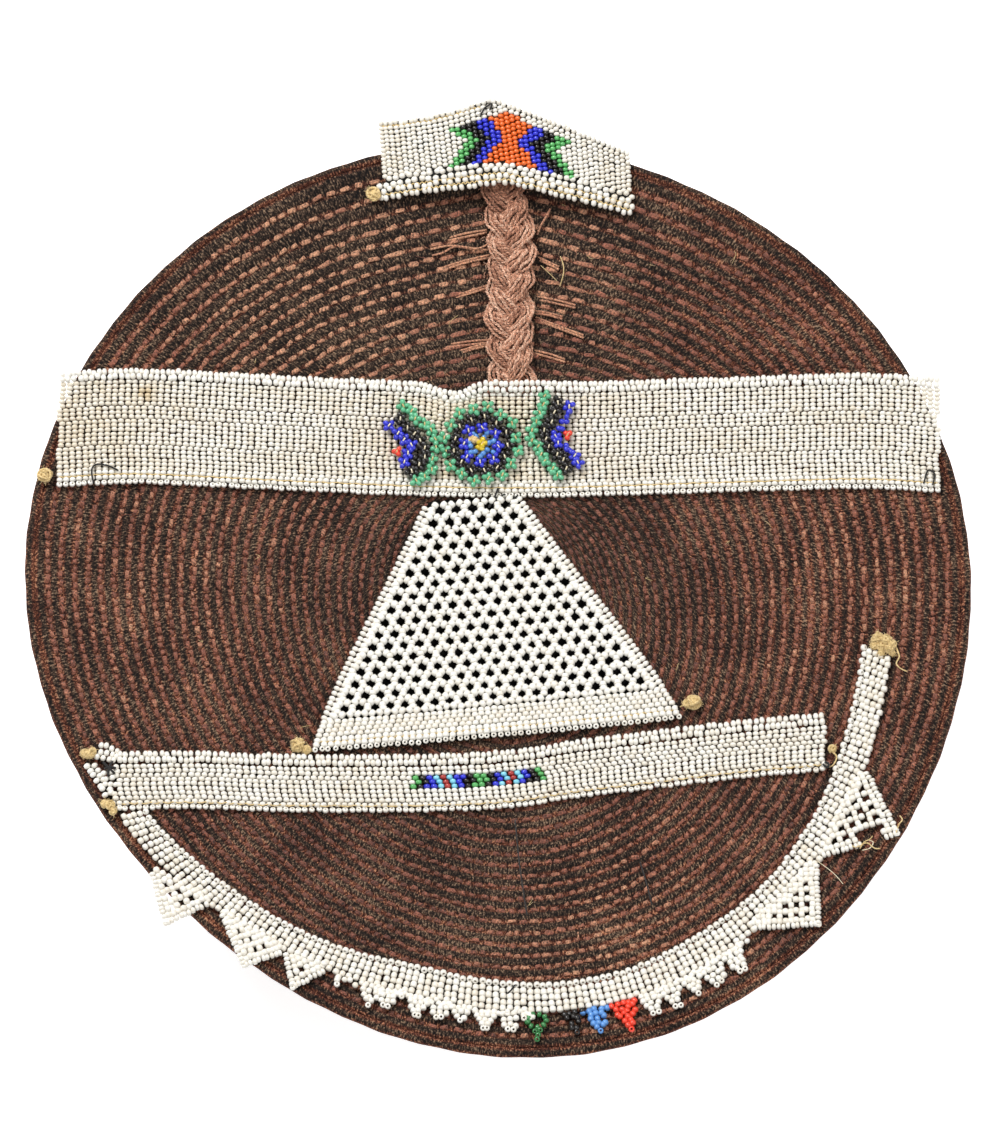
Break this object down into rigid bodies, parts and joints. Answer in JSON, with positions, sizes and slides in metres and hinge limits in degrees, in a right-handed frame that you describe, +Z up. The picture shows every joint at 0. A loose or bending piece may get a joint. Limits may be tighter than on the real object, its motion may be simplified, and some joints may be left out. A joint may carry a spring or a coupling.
{
  "type": "isicholo hat",
  "caption": "Wide flared hat of quilted cloth with a dished top, a plaited seam cord and sewn-on beadwork bands, net, collar and panel.",
  "frame": {"origin": "centre of the bounding box at the level of the surface that the hat stands on", "axes": "+Z up; +Y to the back of the hat, where the seam and its braid are; +X to the hat's right in the view from the front"},
  "size_m": [0.4293, 0.4487, 0.1571],
  "materials": {
    "quilted_cloth": "open dark brown weave quilted in rows with thick red-brown yarn",
    "braid_yarn": "plaited multi-strand red-brown yarn",
    "white_beads": "opaque warm white seed beads, glossy",
    "flower_beads": "translucent sea green, black and blue seed beads, glossy",
    "green_beads": "opaque green seed beads, glossy",
    "black_beads": "opaque black seed beads, glossy",
    "blue_beads": "opaque mid blue seed beads, glossy",
    "red_beads": "opaque orange-red seed beads, glossy",
    "sewing_thread": "knotted tan cotton thread"
  },
  "bodies": {
    "root": {"dish_top": "quilted_cloth", "flared_side": "quilted_cloth", "rim_roll": "quilted_cloth", "seam_braid": "braid_yarn", "wide_band": "white_beads", "whole_flower": "flower_beads", "left_half_flower": "flower_beads", "right_half_flower": "flower_beads", "netted_panel": "white_beads", "narrow_band": "white_beads", "collar": "white_beads", "green_point": "green_beads", "black_point": "black_beads", "blue_point": "blue_beads", "red_point": "red_beads", "back_panel": "white_beads", "wide_band_knot": "sewing_thread", "net_left_knot": "sewing_thread", "net_right_knot": "sewing_thread", "narrow_band_upper_knot": "sewing_thread", "narrow_band_lower_knot": "sewing_thread", "narrow_band_right_knot": "sewing_thread", "back_panel_knot": "sewing_thread", "collar_knot": "sewing_thread"}
  },
  "joints": []
}
